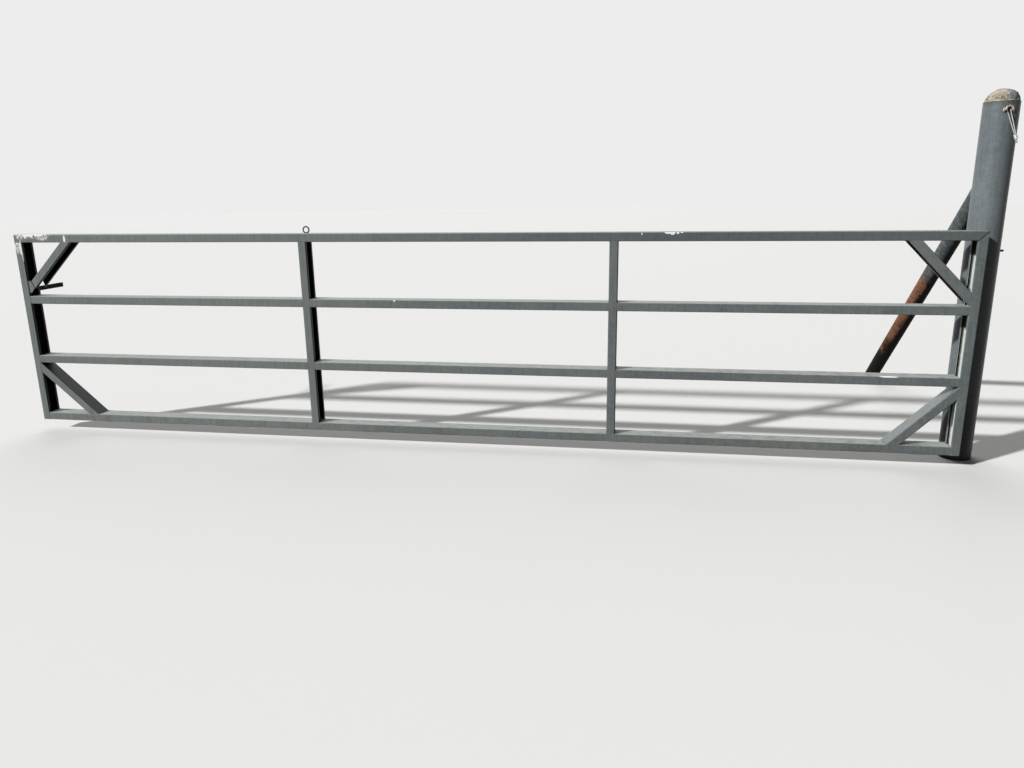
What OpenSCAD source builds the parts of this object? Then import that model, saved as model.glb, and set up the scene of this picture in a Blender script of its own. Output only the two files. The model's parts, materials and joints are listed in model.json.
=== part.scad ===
// Ranch swing gate: a welded leaf of lipped channel on a filled pipe post with a diagonal pipe brace.
// Millimetres, +Z up. The origin is the middle of the hinge post's foot, at ground level.
// The leaf reaches to -X and is drawn open, in front of the post, which is on the -Y side.

/* [Leaf] */
// Length of the leaf over its end stiles
leaf_len = 5935; // [4800:5:6400]
// Height of the leaf from bottom rail to top rail
leaf_height = 1270; // [1100:5:1500]
// Clearance between the ground and the leaf
leaf_clear = 80; // [50:5:150]
// Outer side of the free stile to the near side of the left inner stile
bay_left = 1995; // [1600:5:2300]
// Inner stile to inner stile, near side to near side
bay_middle = 1921; // [1500:5:2300]

/* [Channel] */
// Width of the channel seen from the front
channel_w = 50.8; // [40:0.1:60]
// Depth of the channel through the leaf, over its web
channel_d = 101.6; // [80:0.1:120]
// Thickness of the channel's steel
channel_wall = 2.7; // [1.5:0.1:3.5]
// Outer corner radius of the channel
channel_round = 4.5; // [4:0.5:8]
// Depth of the lips on both sides of the channel's open side
channel_lip = 19; // [14:0.5:28]
// Plate that closes the foot of an end stile
cap_t = 5; // [3:0.5:8]

/* [Corner braces] */
// Reach of the upper brace at the free end, along the top rail
reach_upper_free = 360; // [300:5:420]
// Reach of the lower brace at the free end, along the bottom rail
reach_lower_free = 385; // [300:5:440]
// Reach of the upper brace at the hinge end, along the top rail
reach_upper_hinge = 347; // [300:5:420]
// Reach of the lower brace at the hinge end, along the bottom rail
reach_lower_hinge = 352; // [300:5:420]
// Gap between a corner brace and the middle rail it points at
brace_rail_gap = 2; // [1:0.5:8]
// Distance from the free stile at which the upper brace was cut short
short_cut = 28; // [20:1:40]
// Lean of that cut from upright, in degrees
short_cut_lean = 21; // [10:1:40]
// Height of the filler plate at the short foot
filler_h = 76; // [50:1:100]
// Width of the filler plate along its lower edge
filler_foot_w = 17; // [10:1:24]
// Thickness of the filler plate
filler_t = 6; // [4:0.5:10]
// Gap between the filler plate and the cut
filler_gap = 3; // [1:0.5:6]

/* [Post] */
// Outer diameter of the hinge post
post_od = 177.8; // [150:0.1:200]
// Wall of the hinge post
post_wall = 9.2; // [6:0.1:12]
// Height of the post above ground
post_height = 2022; // [1800:1:2300]
// Height of the mound of concrete over the rim
mound_h = 70; // [40:1:100]
// Width of the steel rim that the mound leaves bare
mound_ledge = 3; // [0:0.5:6]

/* [Post brace] */
// Outer diameter of the diagonal pipe
kicker_od = 101.6; // [80:0.1:120]
// Wall of the diagonal pipe
kicker_wall = 5.7; // [4:0.1:8]
// Height at which the diagonal pipe's axis meets the post's axis
kicker_top = 1658; // [1400:1:1750]
// Distance of the diagonal pipe's foot from the post's axis
kicker_reach = 1980; // [1500:5:2300]
// Turn of the diagonal pipe away from the +Y direction, in degrees
kicker_turn = -1; // [-15:1:15]

/* [Hinges] */
// Space between the back of the leaf and the front of the post
post_gap = 44.5; // [42:0.5:60]
// Distance of the leaf's outer end from the post's middle
leaf_offset = 62.5; // [50:0.5:80]
// Distance of the hinge line from the leaf's outer end
pin_inset = 12.5; // [8:0.5:18]
// Diameter of the hinge pins
pin_d = 19; // [16:0.5:22]
// Radial clearance between a pin and its bores
pin_play = 0.1; // [0.05:0.01:0.1]
// Thickness of the strap that is rolled round the pin
strap_t = 6.4; // [5:0.1:8]
// Height of a strap
strap_h = 60; // [45:1:80]
// Reach of a strap's plate from the leaf's outer end
strap_w = 40; // [32:1:42]
// Thickness of the pad between a strap and the stile
strap_pad = 6.4; // [6:0.1:10]
// How far that pad stands past the strap, above and below
pad_edge = 10; // [6:1:20]
// Height of the socket that stands on the post
socket_h = 45; // [30:1:60]
// Wall of the socket
socket_wall = 6; // [4:0.5:8]
// Thickness of the web between socket and post
web_t = 12; // [8:1:16]
// Thickness of the thrust washer
washer_t = 4; // [3:0.5:6]
// Thickness of the pin's head
head_t = 7; // [5:0.5:10]
// Running gap between a strap and the pin's head
head_gap = 0.6; // [0.3:0.1:1]
// Depth of the upper hinge below the top of the leaf, to its washer
upper_hinge_drop = 150; // [125:1:220]
// Height of the lower hinge above the foot of the leaf, to its washer
lower_hinge_rise = 150; // [120:1:250]

/* [Eyes and rods] */
// Outer diameter of the ring on the top rail
ring_od = 46; // [36:1:60]
// Thickness of the ring's rod
ring_rod = 8; // [6:0.5:10]
// Distance of the ring from the middle of the left inner stile
ring_shift = 15; // [-20:1:40]
// Width of the eye near the post's top, between its rods' middles
eye_w = 36; // [32:1:48]
// Thickness of the eye's rod
eye_rod = 12; // [9:0.5:14]
// Space beside the stay's wire between the eye and the post
eye_play = 1.5; // [1:0.5:4]
// Depth of the eye's feet below the rim
eye_drop = 48; // [40:1:90]
// Turn of the eye round the post from the -Y direction, in degrees
eye_turn = 1.5; // [-20:0.5:20]
// Thickness of the stay's wire
wire_d = 5; // [3:0.5:6]
// Sideways lean of the stay's wires
stay_lean = 45; // [20:1:60]
// Drop of the stay's wires to their knot
stay_drop = 130; // [100:1:220]
// Length of the twisted end of the stay
twist_len = 41; // [20:1:60]
// Thickness of the rod at the post's side
side_rod_d = 12; // [8:0.5:14]
// Length of the rod at the post's side
side_rod_len = 23; // [15:1:50]
// Height of that rod above the ground
side_rod_z = 1228; // [900:1:1500]
// Length of the stop bar behind the free stile
stop_len = 250; // [150:5:320]
// Height of the stop bar's section
stop_h = 30; // [20:1:50]
// Thickness of the stop bar
stop_t = 10; // [6:0.5:14]
// Height of the stop bar above the upper rail
stop_rise = 22; // [5:1:60]
// Distance of the stop bar from the leaf's free end
stop_inset = 12; // [8:0.5:24]

/* [Hidden] */

// Space left between a curved part and what it is welded to
seat = 0.3;
// Overshoot of cutting solids
over = 5;
$fn = 48;

paint = "#5d666b";
worn_paint = "#6b7377";
brace_paint = "#5a4c46";
rusty_steel = "#6d5249";
bare_steel = "#8d9092";
concrete = "#b3a68c";

post_r = post_od / 2;
leaf_z0 = leaf_clear;
leaf_z1 = leaf_clear + leaf_height;
leaf_x1 = -leaf_offset;
leaf_x0 = leaf_x1 - leaf_len;
leaf_back = -post_r - post_gap;
leaf_mid = leaf_back - channel_d / 2;

// Three equal gaps between four rails
rail_gap = (leaf_height - 4 * channel_w) / 3;
lower_rail_z = leaf_z0 + channel_w + rail_gap;
upper_rail_z = lower_rail_z + channel_w + rail_gap;
top_rail_z = leaf_z1 - channel_w;
bottom_rail_top = leaf_z0 + channel_w;

left_stile_x = leaf_x0 + bay_left;
right_stile_x = left_stile_x + bay_middle;
hinge_stile_x = leaf_x1 - channel_w;

// The strap is rolled round the pin, so its plate lies flat on its pad
bore_r = pin_d / 2 + pin_play;
strap_r = bore_r + strap_t;
hinge_x = leaf_x1 - pin_inset;
hinge_y = leaf_back + strap_pad + strap_r;
socket_r = bore_r + socket_wall;
upper_hinge_z = leaf_z1 - upper_hinge_drop;
lower_hinge_z = leaf_z0 + lower_hinge_rise;

// Middle of the arch of the post's eye, before it is turned round the post
eye_y = -post_r - wire_d - eye_play - eye_rod / 2;
eye_z = post_height - eye_drop;

// A channel of the leaf along +X from the origin, its section centred on Y and on Z.
// web is 1 for a web on top and an open underside, and -1 for the reverse.
module channel_along_x(len, web) {
    rotate([90, 0, 90])
        linear_extrude(len)
            channel_2d(web);
}

// The channel's section: a hollow box, open between its two lips
module channel_2d(web) {
    difference() {
        rounded_box_2d(channel_d, channel_w, channel_round);
        rounded_box_2d(
            channel_d - 2 * channel_wall, channel_w - 2 * channel_wall, channel_round - channel_wall);
        translate([0, -web * channel_w / 2])
            square([channel_d - 2 * channel_lip, 3 * channel_wall], center = true);
    }
}

// A rectangle with round corners, centred
module rounded_box_2d(w, h, r) {
    square([w - 2 * r, h], center = true);
    square([w, h - 2 * r], center = true);
    for (x = [-1, 1], y = [-1, 1])
        translate([x * (w / 2 - r), y * (h / 2 - r)])
            circle(r);
}

// A solid through the whole depth of the leaf with the given outline in X and Z
module through_leaf(outline) {
    translate([0, leaf_back + over, 0])
        rotate([90, 0, 0])
            linear_extrude(channel_d + 2 * over)
                polygon(outline);
}

// A level channel of the leaf between two X places, with its open underside at z
module rail(x0, x1, z) {
    translate([x0, leaf_mid, z + channel_w / 2])
        channel_along_x(x1 - x0, 1);
}

// An upright channel of the leaf between two heights, with its -X side at x. open is the way it opens along X.
module stile(x, z0, z1, open) {
    translate([x + channel_w / 2, leaf_mid, z0])
        rotate([0, -90, 0])
            channel_along_x(z1 - z0, open);
}

module top_rail() {
    color(worn_paint)
        intersection() {
            rail(leaf_x0, leaf_x1, top_rail_z);
            through_leaf([
                [leaf_x0, leaf_z1], [leaf_x0 + channel_w, top_rail_z],
                [leaf_x1 - channel_w, top_rail_z], [leaf_x1, leaf_z1]]);
        }
}

module bottom_rail() {
    color(paint) rail(leaf_x0 + channel_w, hinge_stile_x, leaf_z0);
}

// The three lengths of a middle rail, each cut square between two stiles
module middle_rail_left(z) {
    color(paint) rail(leaf_x0 + channel_w, left_stile_x, z);
}

module middle_rail_middle(z) {
    color(paint) rail(left_stile_x + channel_w, right_stile_x, z);
}

module middle_rail_right(z) {
    color(paint) rail(right_stile_x + channel_w, hinge_stile_x, z);
}

// An end stile is mitred to the top rail. Its web is at x, and side is the way to the middle, where it opens.
module end_stile(x, side) {
    foot = leaf_z0 + cap_t;
    intersection() {
        stile(min(x, x + side * channel_w), foot, leaf_z1, side);
        through_leaf([[x, leaf_z1], [x + side * channel_w, top_rail_z], [x + side * channel_w, foot], [x, foot]]);
    }
}

module free_stile() {
    color(worn_paint) end_stile(leaf_x0, 1);
}

module hinge_stile() {
    color(paint) end_stile(leaf_x1, -1);
}

module inner_stile(x) {
    color(paint) stile(x, bottom_rail_top, top_rail_z, 1);
}

// A plate under an end stile, with the channel's own outline
module stile_cap(x) {
    color(paint)
        translate([x + channel_w / 2, leaf_mid, leaf_z0])
            linear_extrude(cap_t)
                rounded_box_2d(channel_w, channel_d, channel_round);
}

// A channel across a corner of the leaf, its web on top. Its long edge runs from the stile, at from_z,
// to the rail, at reach.
// side is the way from the stile to the middle of the leaf, and rise the way to the top or bottom rail.
module corner_brace(stile_face, from_z, rail_face, reach, side) {
    rise = sign(rail_face - from_z);
    climb = abs(rail_face - from_z);
    slope = atan2(climb, reach);
    start_z = from_z - rise * channel_d;
    far_x = stile_face + side * 2 * reach;
    intersection() {
        translate([stile_face, leaf_mid, from_z])
            mirror([side < 0 ? 1 : 0, 0, 0])
                mirror([0, 0, rise < 0 ? 1 : 0])
                    rotate([0, -slope, 0])
                        translate([-channel_d, 0, channel_w / 2])
                            channel_along_x(norm([climb, reach]) + 2 * channel_d, rise);
        through_leaf([
            [stile_face, start_z], [stile_face, rail_face],
            [far_x, rail_face], [far_x, start_z]]);
    }
}

free_face = leaf_x0 + channel_w;
upper_corner_z = upper_rail_z + channel_w + brace_rail_gap;
lower_corner_z = lower_rail_z - brace_rail_gap;

// Place on the short brace's upper edge where its square cut starts, and the slope of that edge
short_slope = atan2(top_rail_z - upper_corner_z, reach_upper_free);
short_edge_z = upper_corner_z + channel_w / cos(short_slope) + short_cut * tan(short_slope);

// The brace that was cut too short: the part of it within the cut is taken away
module upper_free_brace() {
    below = 3 * channel_w;
    cut_x = free_face + short_cut;
    color(paint)
        difference() {
            corner_brace(free_face, upper_corner_z, top_rail_z, reach_upper_free, 1);
            through_leaf([
                [free_face - over, short_edge_z + over],
                [cut_x - over * tan(short_cut_lean), short_edge_z + over],
                [cut_x + below * tan(short_cut_lean), short_edge_z - below],
                [free_face - over, short_edge_z - below]]);
        }
}

// The plate that fills the space between the free stile and the short brace, its edge along the cut.
// It stands on the flat of the stile's front lip.
module brace_filler() {
    waist = filler_h * 0.6;
    top_w = short_cut - filler_gap;
    foot_z = short_edge_z - filler_h;
    color(worn_paint)
        translate([free_face, leaf_mid - channel_d / 2 + channel_round + filler_t, 0])
            rotate([90, 0, 0])
                linear_extrude(filler_t)
                    polygon([
                        [0, short_edge_z], [top_w, short_edge_z],
                        [top_w + waist * tan(short_cut_lean), short_edge_z - waist],
                        [filler_foot_w, foot_z], [0, foot_z]]);
}

module lower_free_brace() {
    color(paint) corner_brace(free_face, lower_corner_z, bottom_rail_top, reach_lower_free, 1);
}

module upper_hinge_brace() {
    color(paint) corner_brace(hinge_stile_x, upper_corner_z, top_rail_z, reach_upper_hinge, -1);
}

module lower_hinge_brace() {
    color(paint) corner_brace(hinge_stile_x, lower_corner_z, bottom_rail_top, reach_lower_hinge, -1);
}

// A rod ring that stands on the top rail, ground flat where it is welded
module rail_ring() {
    mean_r = (ring_od - ring_rod) / 2;
    flat = ring_rod / 5;
    color(rusty_steel)
        translate([left_stile_x + channel_w / 2 + ring_shift, leaf_mid, leaf_z1])
            difference() {
                translate([0, 0, ring_od / 2 - flat])
                    rotate([90, 0, 0])
                        rotate_extrude()
                            translate([mean_r, 0]) circle(ring_rod / 2);
                translate([-ring_od, -ring_od, -ring_od])
                    cube([2 * ring_od, 2 * ring_od, ring_od]);
            }
}

// A flat bar on edge, welded to the back of the free stile
module stop_bar() {
    color(rusty_steel)
        translate([leaf_x0 + stop_inset, leaf_back, upper_rail_z + channel_w + stop_rise])
            cube([stop_t, stop_len, stop_h]);
}

// The leaf's half of a hinge: a flat bar rolled into an eye, on a pad that is welded to the stile.
// z is the eye's underside. The pad covers the flat of the stile's back.
module strap(z) {
    pad_x = pin_inset + channel_round - channel_w;
    pad_w = channel_w - 2 * channel_round;
    color(paint)
        translate([hinge_x, hinge_y, z])
            union() {
                linear_extrude(strap_h)
                    difference() {
                        union() {
                            circle(strap_r);
                            translate([pin_inset - strap_w, -strap_r])
                                square([strap_w - pin_inset, strap_t]);
                        }
                        circle(bore_r);
                    }
                translate([pad_x, -strap_r - strap_pad, -pad_edge])
                    cube([pad_w, strap_pad, strap_h + 2 * pad_edge]);
            }
}

// The post's half of a hinge: a socket on a web that is welded to the post. z is the socket's top.
module socket(z) {
    away = norm([hinge_x, hinge_y]);
    color(paint)
        translate([0, 0, z - socket_h])
            difference() {
                union() {
                    translate([hinge_x, hinge_y, 0]) cylinder(r = socket_r, h = socket_h);
                    rotate([0, 0, atan2(hinge_y, hinge_x)])
                        translate([0, -web_t / 2, 0]) cube([away, web_t, socket_h]);
                }
                translate([hinge_x, hinge_y, -over]) cylinder(r = bore_r, h = socket_h + 2 * over);
                translate([0, 0, -over]) cylinder(r = post_r + seat, h = socket_h + 2 * over, $fn = 96);
            }
}

// A pin with a chamfered head. z is the top of the socket it stands in.
module pin(z) {
    pin_r = pin_d / 2;
    head_r = strap_r - strap_t / 4;
    head_z = socket_h + washer_t + strap_h + head_gap;
    edge = head_t / 3;
    color(bare_steel)
        translate([hinge_x, hinge_y, z - socket_h])
            rotate_extrude()
                polygon([
                    [0, 0], [pin_r, 0], [pin_r, head_z], [head_r, head_z],
                    [head_r, head_z + head_t - edge], [head_r - edge, head_z + head_t],
                    [0, head_z + head_t]]);
}

// A washer that carries the strap on the socket
module washer(z) {
    color(bare_steel)
        translate([hinge_x, hinge_y, z])
            difference() {
                cylinder(r = strap_r - 1, h = washer_t);
                translate([0, 0, -over]) cylinder(r = bore_r, h = washer_t + 2 * over);
            }
}

module hinge_post() {
    color(paint)
        difference() {
            cylinder(r = post_r, h = post_height, $fn = 96);
            translate([0, 0, -over]) cylinder(r = post_r - post_wall, h = post_height + 2 * over, $fn = 96);
        }
}

// Concrete in the post, with a mound on top that runs out over the rim. The outline is a flattened dome.
module post_fill() {
    core_r = post_r - post_wall - seat;
    mound_r = post_r - mound_ledge;
    steps = 10;
    fullness = 0.82;
    dome = [for (i = [0:steps])
        let (a = 90 * i / steps)
        [mound_r * pow(cos(a), fullness), post_height + mound_h * pow(sin(a), fullness)]];
    color(concrete)
        rotate_extrude($fn = 96)
            polygon(concat([[0, 0], [core_r, 0], [core_r, post_height]], dome));
}

// The diagonal pipe, saddle-cut to the post and cut level at the ground
module post_brace() {
    lean = atan2(kicker_reach, kicker_top);
    long = norm([kicker_reach, kicker_top]) + kicker_od;
    color(brace_paint)
        difference() {
            translate([0, 0, kicker_top])
                rotate([0, 0, kicker_turn])
                    rotate([180 + lean, 0, 0])
                        difference() {
                            cylinder(d = kicker_od, h = long, $fn = 72);
                            translate([0, 0, -over])
                                cylinder(d = kicker_od - 2 * kicker_wall, h = long + 2 * over, $fn = 72);
                        }
            cylinder(r = post_r + seat, h = post_height, $fn = 96);
            translate([-kicker_reach, -post_od, -2 * kicker_od])
                cube([2 * kicker_reach, 2 * kicker_reach, 2 * kicker_od]);
        }
}

// A rod bent into an arch that stands off the post, with its feet turned back and coped to the post
module post_eye() {
    color(rusty_steel)
        rotate([0, 0, eye_turn])
            difference() {
                translate([0, eye_y, eye_z])
                    union() {
                        rotate([90, 0, 0])
                            rotate_extrude(angle = 180)
                                translate([eye_w / 2, 0]) circle(d = eye_rod);
                        for (x = [-eye_w / 2, eye_w / 2])
                            translate([x, 0, 0]) {
                                sphere(d = eye_rod);
                                rotate([-90, 0, 0]) cylinder(d = eye_rod, h = post_r / 2);
                            }
                    }
                cylinder(r = post_r + seat, h = post_height, $fn = 96);
            }
}

// The ring of points round one place of a swept wire, square to the way it runs there
function wire_ring(place, way, r, sides) =
    let (
        level = cross(way, [0, 1, 0]),
        first = level / norm(level),
        second = cross(way / norm(way), first))
    [for (k = [0:sides - 1])
        let (a = 360 * k / sides)
        place + r * (cos(a) * first + sin(a) * second)];

// A round wire of thickness d swept along a path, with flat ends
module swept_wire(path, d, sides = 8) {
    last = len(path) - 1;
    rings = [for (i = [0:last])
        wire_ring(path[i], path[min(i + 1, last)] - path[max(i - 1, 0)], d / 2, sides)];
    polyhedron(
        points = [for (ring = rings) each ring],
        faces = concat(
            [[for (k = [0:sides - 1]) k]],
            [[for (k = [sides - 1:-1:0]) last * sides + k]],
            [for (i = [0:last - 1], k = [0:sides - 1])
                let (next = (k + 1) % sides)
                [i * sides + k, (i + 1) * sides + k, (i + 1) * sides + next, i * sides + next]]));
}

// One strand of the stay's twisted end, from the knot outwards. phase is where it starts round the twist.
function twist_strand(knot, phase) =
    let (
        lean = atan2(stay_lean, stay_drop),
        run = [sin(lean), 0, -cos(lean)],
        across = [cos(lean), 0, sin(lean)],
        strand_r = wire_d * 0.56,
        steps = 16)
    [for (i = [0:steps])
        let (a = 720 * i / steps + phase)
        knot + run * twist_len * i / steps + strand_r * (cos(a) * across + sin(a) * [0, 1, 0])];

// A turn of wire from under one foot of the eye, over it and down its inner side. side is the foot's side.
function foot_turn(side, r, y) = [for (a = [-110:-25:-360])
    [side * eye_w / 2 - side * r * cos(a), y, r * sin(a)]];

// Two lengths of fence wire: each turns round a foot of the eye and runs down to a common twist
module stay_loop() {
    turn_r = (eye_rod + wire_d) / 2 + 2 * seat;
    turn_y = -post_r - wire_d / 2 - seat;
    knot = [stay_lean, eye_y, -stay_drop];
    color(bare_steel)
        rotate([0, 0, eye_turn])
            translate([0, 0, eye_z])
                for (side = [-1, 1])
                    swept_wire(
                        concat(foot_turn(side, turn_r, turn_y), twist_strand(knot, 90 - 90 * side)),
                        wire_d);
}

// The end of a rod that stands out of the post's side
module side_rod() {
    edge = side_rod_d / 8;
    color(rusty_steel)
        difference() {
            translate([0, 0, side_rod_z])
                rotate([0, 90, 0])
                    union() {
                        cylinder(d = side_rod_d, h = post_r + side_rod_len - edge);
                        translate([0, 0, post_r + side_rod_len - edge])
                            cylinder(d1 = side_rod_d, d2 = side_rod_d - 2 * edge, h = edge);
                    }
            cylinder(r = post_r + seat, h = post_height, $fn = 96);
        }
}

top_rail();
bottom_rail();
middle_rail_left(upper_rail_z);  // upper_rail_left
middle_rail_middle(upper_rail_z);  // upper_rail_middle
middle_rail_right(upper_rail_z);  // upper_rail_right
middle_rail_left(lower_rail_z);  // lower_rail_left
middle_rail_middle(lower_rail_z);  // lower_rail_middle
middle_rail_right(lower_rail_z);  // lower_rail_right
free_stile();
inner_stile(left_stile_x);  // inner_stile_left
inner_stile(right_stile_x);  // inner_stile_right
hinge_stile();
stile_cap(leaf_x0);  // free_stile_cap
stile_cap(hinge_stile_x);  // hinge_stile_cap
upper_free_brace();
lower_free_brace();
upper_hinge_brace();
lower_hinge_brace();
brace_filler();
rail_ring();
stop_bar();
strap(upper_hinge_z + washer_t);  // upper_strap
strap(lower_hinge_z + washer_t);  // lower_strap
hinge_post();
post_fill();
post_brace();
socket(upper_hinge_z);  // upper_socket
socket(lower_hinge_z);  // lower_socket
pin(upper_hinge_z);  // upper_pin
pin(lower_hinge_z);  // lower_pin
washer(upper_hinge_z);  // upper_washer
washer(lower_hinge_z);  // lower_washer
post_eye();
stay_loop();
side_rod();
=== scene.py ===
# %% [markdown]
# # A ranch swing gate on its hinge post
# The leaf is welded from lipped steel channel, which is sold for the ribs of sheds and barns. It hangs on a
# pipe post that is filled with concrete, and a sloping pipe props the post from behind. The solids come in
# first, as a frame that is never moved or reshaped. Each step after that adds one thing that a maker or the
# weather has put there: weld beads, paint, dust, rust, lichen and worn patches.

# %% Load the solids
import json
import math

import bpy
from mathutils import Matrix, Vector


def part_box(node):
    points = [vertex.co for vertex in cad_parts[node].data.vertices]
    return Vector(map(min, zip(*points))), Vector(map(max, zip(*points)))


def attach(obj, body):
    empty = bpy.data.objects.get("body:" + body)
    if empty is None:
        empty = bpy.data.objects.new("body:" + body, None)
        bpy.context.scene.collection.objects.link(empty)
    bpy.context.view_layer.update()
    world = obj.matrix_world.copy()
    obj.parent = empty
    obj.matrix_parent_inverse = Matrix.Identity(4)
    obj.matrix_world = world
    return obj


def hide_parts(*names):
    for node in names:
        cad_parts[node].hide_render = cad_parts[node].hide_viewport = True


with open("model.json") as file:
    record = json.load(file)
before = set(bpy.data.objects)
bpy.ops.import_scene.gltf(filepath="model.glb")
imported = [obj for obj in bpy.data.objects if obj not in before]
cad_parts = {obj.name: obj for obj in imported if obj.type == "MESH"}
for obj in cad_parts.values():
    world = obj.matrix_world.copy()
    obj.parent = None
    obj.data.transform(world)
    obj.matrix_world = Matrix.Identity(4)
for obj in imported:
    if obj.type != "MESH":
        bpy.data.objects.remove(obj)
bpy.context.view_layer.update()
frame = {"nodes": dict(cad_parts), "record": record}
nodes = frame["nodes"]

# %% [markdown]
# ## Sizes
# The gate's main sizes are read from the solids, so that every bead and stain lands where the steel is.
# Only what a box can't tell is written down again: the depth of the channel's lips, the slope of the propping
# pipe, the line of the hinges, and where the eye and the twisted wires stand.

# %% Sizes read from the solids
MM = 0.001
post_low, post_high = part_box("hinge_post")
POST_R = (post_high.x - post_low.x) / 2
POST_TOP = post_high.z
MOUND_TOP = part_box("post_fill")[1].z

rail_low, rail_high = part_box("top_rail")
LEAF_START, LEAF_END = rail_low.x, rail_high.x
LEAF_FRONT, LEAF_BACK = rail_low.y, rail_high.y
LEAF_TOP = rail_high.z
WIDTH = rail_high.z - rail_low.z
DEPTH = LEAF_BACK - LEAF_FRONT
MIDDLE = (LEAF_FRONT + LEAF_BACK) / 2
print("post radius", round(POST_R, 4), "leaf", round(LEAF_END - LEAF_START, 3), "channel", round(WIDTH, 4))

# %% Sizes written down again
LIP = 19 * MM
BRACE_GAP = 2 * MM
PAD_WIDTH = 41.8 * MM
FILL_R = 79.4 * MM
PROP_R = 50.8 * MM
PROP_TOP = 1658 * MM
PROP_REACH = 1980 * MM
PROP_TURN = math.radians(-1)
EYE_ROD_R = 6 * MM
EYE_HALF = 18 * MM
EYE_Z = 1974 * MM
EYE_Y = -101.4 * MM
EYE_TURN = math.radians(1.5)
ROD_R = 6 * MM
WIRE_R = 2.5 * MM
KNOT_SIDE = 45 * MM
KNOT_DROP = 130 * MM
HINGE_X, HINGE_Y = -75 * MM, -111 * MM
SOCKET_HALF = 6.5 * MM
print("the propping pipe slopes by", round(math.degrees(math.atan2(PROP_TOP, PROP_REACH)), 1), "degrees")

# %% [markdown]
# ## The camera
# The camera stands where the photographer stood: at eye height, before the hinge half of the leaf, and
# looking down a little. Its lens is a wide one. Euler angles would hide the roll, so the three turns are
# multiplied in the order in which a tripod head makes them: pan, tilt, roll.

# %% The camera
CAMERA_PLACE = (-1.882, -4.7804, 1.6095)
CAMERA_PAN = 9.7755
CAMERA_TILT = 14.334
CAMERA_ROLL = -0.7886
LENS_MM = 27.04

bpy.ops.object.camera_add(location=CAMERA_PLACE)
camera = bpy.context.object
camera.rotation_euler = (
    Matrix.Rotation(math.radians(CAMERA_PAN), 3, "Z")
    @ Matrix.Rotation(math.radians(90 - CAMERA_TILT), 3, "X")
    @ Matrix.Rotation(math.radians(CAMERA_ROLL), 3, "Z")
).to_euler()
camera.data.sensor_width = 36
camera.data.lens = LENS_MM
bpy.context.scene.camera = camera
print("the camera sees", round(math.degrees(camera.data.angle)), "degrees across")

# %% [markdown]
# ## Light
# A low sun stands to the left and in front, so left and front faces are lit and right faces fall into deep
# shade. A sun lamp with a narrow disc gives that direction, with edges that are only a little soft. A weak
# second lamp keeps the back of the gate readable from behind.

# %% Lamps
SUN_FROM = Vector((-1.3, -1.0, 0.9))
SUN_STRENGTH = 5.8
SUN_DISC = math.radians(3)
FILL_FROM = Vector((-0.3, 1.0, 0.8))
FILL_STRENGTH = 1.6
FILL_DISC = math.radians(60)


def add_sun(name, comes_from, strength, disc):
    bpy.ops.object.light_add(type="SUN", location=comes_from.normalized() * 8)
    lamp = bpy.context.object
    lamp.name = name
    lamp.rotation_euler = comes_from.to_track_quat("Z", "Y").to_euler()
    lamp.data.energy = strength
    lamp.data.angle = disc
    print(name, "has strength", strength)


add_sun("sun", SUN_FROM, SUN_STRENGTH, SUN_DISC)
add_sun("back_fill", FILL_FROM, FILL_STRENGTH, FILL_DISC)

# %% [markdown]
# ## One helper for shader nodes
# A procedural finish is a graph of small nodes. This helper adds a node of any kind with its settings, and
# joins or sets its inputs by name or number. Colours are written as hex, as a paint chart gives them, and
# turned into the linear values that shaders work in.

# %% Colours and the node helper
def linear(hex_colour):
    """An sRGB hex colour as a linear colour."""
    channels = [int(hex_colour[i:i + 2], 16) / 255 for i in (1, 3, 5)]
    return [c / 12.92 if c <= 0.04045 else ((c + 0.055) / 1.055) ** 2.4 for c in channels] + [1]


def add_node(tree, kind, inputs=None, **settings):
    """Adds a shader node. inputs gives each socket a value, a hex colour, or the output that feeds it."""
    made = tree.nodes.new("ShaderNode" + kind)
    for name, value in settings.items():
        setattr(made, name, value)
    for socket, value in (inputs or {}).items():
        if isinstance(value, bpy.types.NodeSocket):
            tree.links.new(value, made.inputs[socket])
        else:
            made.inputs[socket].default_value = linear(value) if isinstance(value, str) else value
    return made


print("mid grey is", round(linear("#808080")[0], 3))

# %% [markdown]
# ## Backdrop and floor
# The camera should see a pale, even studio, but a pale floor would throw light up into every shaded face. So
# both the world and the floor ask what kind of ray has come: camera, mirror and glass rays see them pale, and
# the rays that only carry light find a dim sky and a floor as dull as grass and gravel. The floor still
# catches the gate's shadow.

# %% Backdrop and floor
SKY_LEVEL = 0.08
BACKDROP = 0.846
FLOOR_RADIUS = 60
# The sockets of a Mix node that mixes colours: its factor, its two colours, and its result.
FACTOR, MIX_A, MIX_B, MIXED = 0, 6, 7, 2


def sees_studio(tree):
    """1 for camera, mirror and glass rays, and 0 for the rays that carry light."""
    ray = add_node(tree, "LightPath").outputs
    mirrored, through_glass = ray["Is Glossy Ray"], ray["Is Transmission Ray"]
    bounced = add_node(tree, "Math", {0: mirrored, 1: through_glass}, operation="MAXIMUM").outputs[0]
    return add_node(tree, "Math", {0: ray["Is Camera Ray"], 1: bounced}, operation="MAXIMUM").outputs[0]


world = bpy.data.worlds.new("studio")
bpy.context.scene.world = world
world.use_nodes = True
tree = world.node_tree
tree.nodes.clear()
level = add_node(tree, "MapRange", {"Value": sees_studio(tree), "To Min": SKY_LEVEL, "To Max": BACKDROP})
sky = add_node(tree, "Background", {"Color": (1, 1, 1, 1), "Strength": level.outputs[0]})
add_node(tree, "OutputWorld", {"Surface": sky.outputs[0]})

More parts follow.
